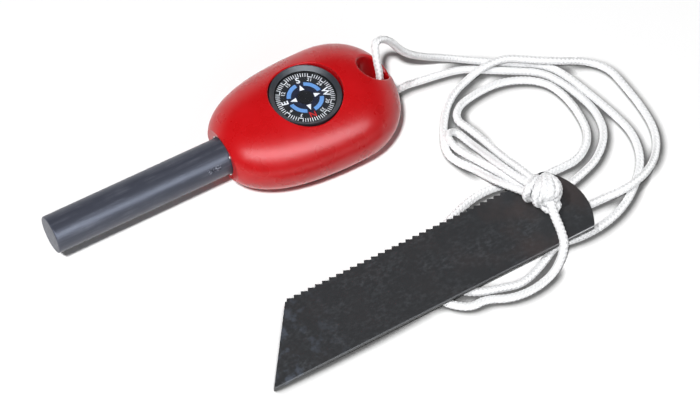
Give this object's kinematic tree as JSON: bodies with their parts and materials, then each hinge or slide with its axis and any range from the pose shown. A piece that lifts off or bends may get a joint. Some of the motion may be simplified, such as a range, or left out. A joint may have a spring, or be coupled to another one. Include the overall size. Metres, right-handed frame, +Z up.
{
  "type": "ferro rod fire starter",
  "caption": "Pebble-shaped handle with a sparking rod and a button compass, tied by a thin cord to a flat saw-backed steel striker.",
  "frame": {"origin": "on the surface it lies on, under the compass's axis, at the handle's flat foot", "axes": "+Z up through the compass, +X along the handle to the lanyard hole, so the rod points to -X"},
  "size_m": [0.1602, 0.0866, 0.0247],
  "materials": {
    "red_shell": "satin, moulded",
    "ferro_metal": "dark grey, drawn, faintly striped along its length",
    "glue": "clear to white glue",
    "compass_case": "matte",
    "compass_rubber": "matte",
    "compass_window": "clear",
    "compass_ring": "satin",
    "needle_steel": "bright",
    "card_face": "matte black, printed",
    "card_cap": "gloss",
    "jewel": "polished",
    "striker_steel": "matte black, bright ground lower edge",
    "white_cord": "braided"
  },
  "bodies": {
    "fire_starter": {"handle_upper_shell": "red_shell", "handle_lower_shell": "red_shell", "ferro_rod": "ferro_metal", "rod_adhesive": "glue", "compass_pad": "glue", "compass_cup": "compass_case", "compass_seal": "compass_rubber", "compass_lens": "compass_window", "compass_bezel": "compass_ring", "compass_pivot": "needle_steel", "lanyard_strand_long": "white_cord", "lanyard_strand_short": "white_cord", "lanyard_striker_loop": "white_cord", "lanyard_bight": "white_cord", "lanyard_knot": "white_cord"},
    "compass_card": {"compass_card": "card_face", "card_hub": "card_cap", "card_jewel": "jewel", "card_magnet": "needle_steel"},
    "striker": {"striker": "striker_steel"}
  },
  "joints": [
    {"name": "card_spin", "type": "hinge", "parent": "fire_starter", "child": "compass_card", "pos_m": [0, 0, 0.0204], "axis": [0, 0, 1], "continuous": true},
    {"name": "striker_swing", "type": "hinge", "parent": "fire_starter", "child": "striker", "pos_m": [0.04409, -0.04943, 0.0046], "axis": [-0.0454, 0.0008, 0.999], "range_deg": [-12, 12]}
  ]
}
